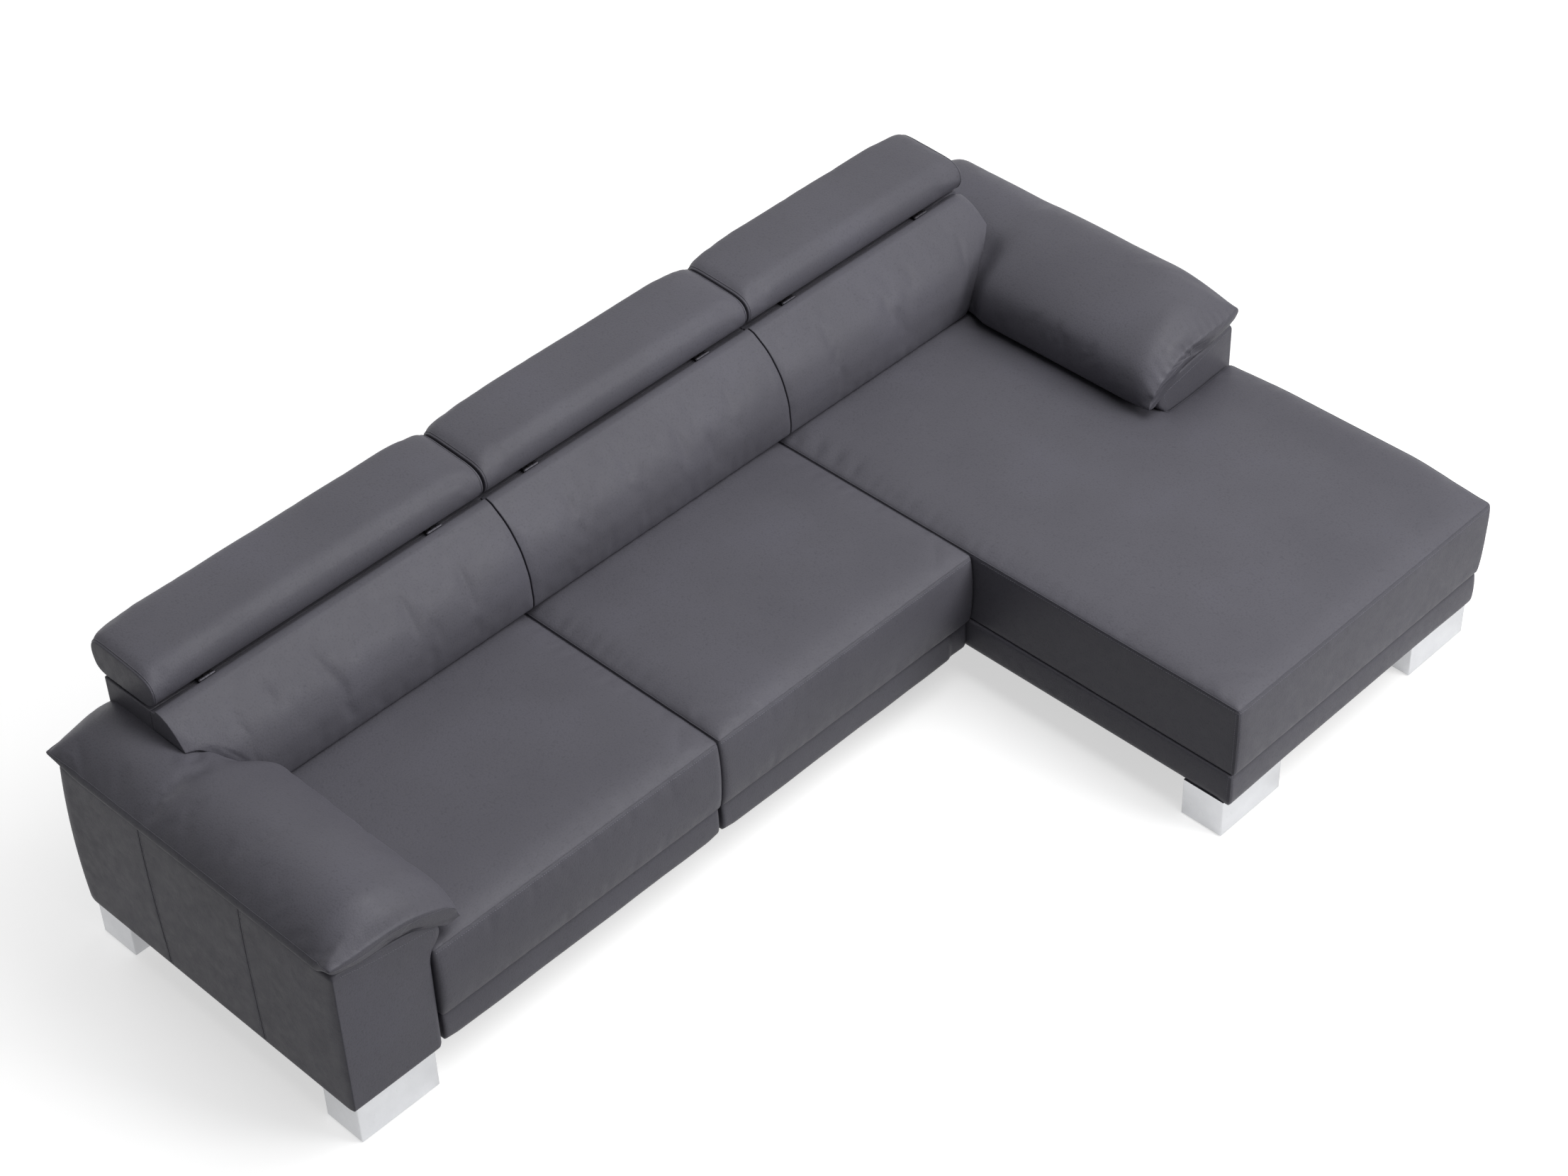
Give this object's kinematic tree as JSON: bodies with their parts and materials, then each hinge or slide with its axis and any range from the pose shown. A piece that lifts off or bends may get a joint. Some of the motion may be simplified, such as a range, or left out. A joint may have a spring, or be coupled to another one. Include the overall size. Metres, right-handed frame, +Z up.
{
  "type": "corner sofa",
  "caption": "L-shaped leather corner sofa with a chaise, padded arms, sliding seats, folding headrests along the back and metal block feet.",
  "frame": {"origin": "on the floor, at the middle of the outline's box", "axes": "+X along the back to the sitter's left-hand side where the chaise is (to the right seen from the front), +Y towards the back, +Z up"},
  "size_m": [3.014, 1.7828, 0.7944],
  "materials": {
    "leather": "satin, pebbled",
    "wood": "sawn",
    "foot_metal": "polished",
    "steel": "zinc plated",
    "plastic": "matte",
    "cloth": "spun cloth"
  },
  "bodies": {
    "base": {"left_arm_frame": "wood", "left_arm_cover": "leather", "left_arm_pillow": "leather", "right_arm_frame": "wood", "right_arm_cover": "leather", "right_arm_pillow": "leather", "seat_base_frame": "wood", "slide_channels": "steel", "channel_screws": "steel", "chaise_base_frame": "wood", "chaise_springs": "steel", "chaise_cushion": "leather", "chaise_front_panel": "leather", "chaise_left_panel": "leather", "chaise_right_panel": "leather", "chaise_lower_band": "leather", "main_back_frame": "wood", "chaise_back_frame": "wood", "back_webbing": "cloth", "main_back_cover": "leather", "chaise_back_cover": "leather", "back_cushion_1": "leather", "back_cushion_2": "leather", "back_cushion_3": "leather", "hinge_fixed_leaves": "steel", "hinge_pins": "steel", "hinge_screws": "steel", "feet": "foot_metal", "foot_glides": "plastic", "foot_bolts": "steel", "support_legs": "plastic", "joining_plates": "steel", "dust_covers": "cloth"},
    "seat_1": {"seat_1_frame": "wood", "seat_1_slide_bars": "steel", "seat_1_glide_pads": "plastic", "seat_1_springs": "steel", "seat_1_cushion": "leather", "seat_1_front_panel": "leather", "seat_1_lower_band": "leather"},
    "seat_2": {"seat_2_frame": "wood", "seat_2_slide_bars": "steel", "seat_2_glide_pads": "plastic", "seat_2_springs": "steel", "seat_2_cushion": "leather", "seat_2_front_panel": "leather", "seat_2_lower_band": "leather"},
    "headrest_1": {"headrest_1": "leather", "headrest_1_board": "wood", "headrest_1_leaves": "steel"},
    "headrest_2": {"headrest_2": "leather", "headrest_2_board": "wood", "headrest_2_leaves": "steel"},
    "headrest_3": {"headrest_3": "leather", "headrest_3_board": "wood", "headrest_3_leaves": "steel"}
  },
  "joints": [
    {"name": "seat_1_slide", "type": "slide", "parent": "base", "child": "seat_1", "axis": [0, -1, 0], "range_m": [0, 0.18]},
    {"name": "seat_2_slide", "type": "slide", "parent": "base", "child": "seat_2", "axis": [0, -1, 0], "range_m": [0, 0.18]},
    {"name": "headrest_1_hinge", "type": "hinge", "parent": "base", "child": "headrest_1", "pos_m": [-0.85, 0.6865, 0.7055], "axis": [1, 0, 0], "range_deg": [0, 60]},
    {"name": "headrest_2_hinge", "type": "hinge", "parent": "base", "child": "headrest_2", "pos_m": [0.073, 0.6865, 0.7055], "axis": [1, 0, 0], "range_deg": [0, 60]},
    {"name": "headrest_3_hinge", "type": "hinge", "parent": "base", "child": "headrest_3", "pos_m": [0.9075, 0.6865, 0.7055], "axis": [1, 0, 0], "range_deg": [0, 60]}
  ]
}
